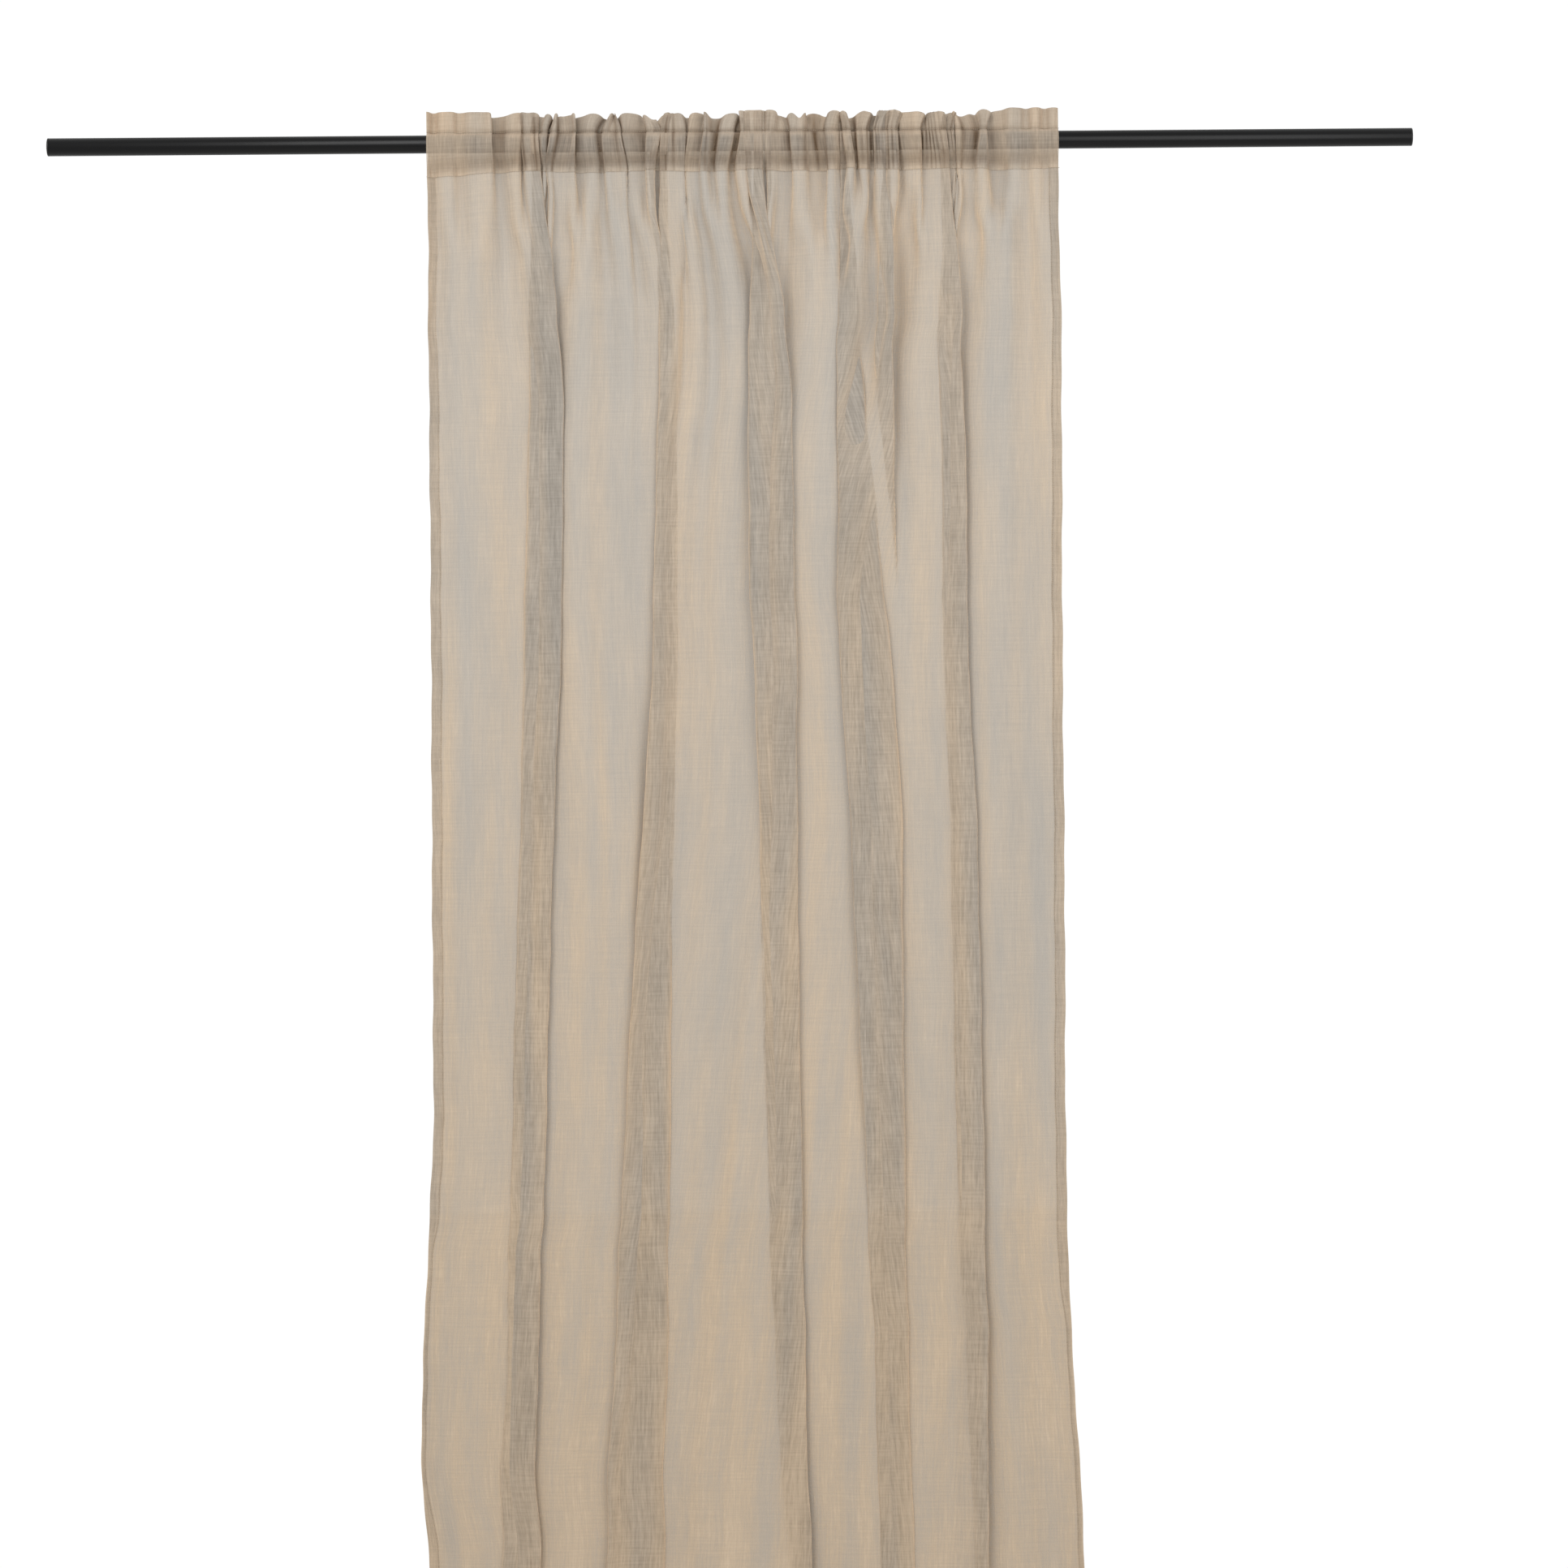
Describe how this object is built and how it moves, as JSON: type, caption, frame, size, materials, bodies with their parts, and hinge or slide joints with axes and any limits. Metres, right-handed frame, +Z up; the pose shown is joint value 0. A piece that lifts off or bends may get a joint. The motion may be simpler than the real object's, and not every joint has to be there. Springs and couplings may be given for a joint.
{
  "type": "rod pocket curtain panel",
  "caption": "Sheer linen-look curtain panel gathered on a slim black rod by a frilled rod pocket, hanging in soft S-folds with stitched side and bottom hems.",
  "frame": {"origin": "on the rod's axis, at the middle of its length", "axes": "+X along the rod to the right as seen from the room, -Y towards the room, +Z up"},
  "size_m": [1.91, 0.0424, 2.5],
  "materials": {
    "linen": "sheer open plain weave with slubs, one layer",
    "linen_double": "the same cloth turned over and sewn, two or three layers",
    "sewing_thread": "matt spun sewing thread",
    "black_powder_coat": "satin black powder coat on steel tube",
    "black_plastic": "matt black moulded end plug"
  },
  "bodies": {
    "rod": {"rod_tube": "black_powder_coat", "rod_plug_left": "black_plastic", "rod_plug_right": "black_plastic"},
    "trailing_edge": {"frill_1": "linen_double", "pocket_front_1": "linen_double", "pocket_back_1": "linen_double", "drop_1": "linen", "bottom_hem_1": "linen_double", "frill_stitching_1": "sewing_thread", "pocket_stitching_1": "sewing_thread", "bottom_stitching_1": "sewing_thread", "side_hem_left": "linen_double", "side_stitching_left": "sewing_thread"},
    "fold_2": {"frill_2": "linen_double", "pocket_front_2": "linen_double", "pocket_back_2": "linen_double", "drop_2": "linen", "bottom_hem_2": "linen_double", "frill_stitching_2": "sewing_thread", "pocket_stitching_2": "sewing_thread", "bottom_stitching_2": "sewing_thread"},
    "fold_3": {"frill_3": "linen_double", "pocket_front_3": "linen_double", "pocket_back_3": "linen_double", "drop_3": "linen", "bottom_hem_3": "linen_double", "frill_stitching_3": "sewing_thread", "pocket_stitching_3": "sewing_thread", "bottom_stitching_3": "sewing_thread"},
    "fold_4": {"frill_4": "linen_double", "pocket_front_4": "linen_double", "pocket_back_4": "linen_double", "drop_4": "linen", "bottom_hem_4": "linen_double", "frill_stitching_4": "sewing_thread", "pocket_stitching_4": "sewing_thread", "bottom_stitching_4": "sewing_thread"},
    "leading_edge": {"frill_5": "linen_double", "pocket_front_5": "linen_double", "pocket_back_5": "linen_double", "drop_5": "linen", "bottom_hem_5": "linen_double", "frill_stitching_5": "sewing_thread", "pocket_stitching_5": "sewing_thread", "bottom_stitching_5": "sewing_thread", "side_hem_right": "linen_double", "side_stitching_right": "sewing_thread"}
  },
  "joints": [
    {"name": "panel_slide", "type": "slide", "parent": "rod", "child": "trailing_edge", "axis": [1, 0, 0], "range_m": [-0.5, 0.465]},
    {"name": "draw", "type": "slide", "parent": "trailing_edge", "child": "leading_edge", "axis": [1, 0, 0], "range_m": [-0.5, 0], "deforming": ["frill_1", "pocket_front_1", "pocket_back_1", "drop_1", "bottom_hem_1", "frill_stitching_1", "pocket_stitching_1", "bottom_stitching_1", "frill_5", "pocket_front_5", "pocket_back_5", "drop_5", "bottom_hem_5", "frill_stitching_5", "pocket_stitching_5", "bottom_stitching_5"]},
    {"name": "fold_2_gather", "type": "slide", "parent": "trailing_edge", "child": "fold_2", "axis": [1, 0, 0], "range_m": [-0.125, 0], "deforming": ["frill_2", "pocket_front_2", "pocket_back_2", "drop_2", "bottom_hem_2", "frill_stitching_2", "pocket_stitching_2", "bottom_stitching_2"]},
    {"name": "fold_3_gather", "type": "slide", "parent": "trailing_edge", "child": "fold_3", "axis": [1, 0, 0], "range_m": [-0.25, 0], "deforming": ["frill_3", "pocket_front_3", "pocket_back_3", "drop_3", "bottom_hem_3", "frill_stitching_3", "pocket_stitching_3", "bottom_stitching_3"]},
    {"name": "fold_4_gather", "type": "slide", "parent": "trailing_edge", "child": "fold_4", "axis": [1, 0, 0], "range_m": [-0.375, 0], "deforming": ["frill_4", "pocket_front_4", "pocket_back_4", "drop_4", "bottom_hem_4", "frill_stitching_4", "pocket_stitching_4", "bottom_stitching_4"]}
  ],
  "couplings": [
    {"joint": "fold_2_gather", "follows": "draw", "ratio": 0.25},
    {"joint": "fold_3_gather", "follows": "draw", "ratio": 0.5},
    {"joint": "fold_4_gather", "follows": "draw", "ratio": 0.75}
  ]
}
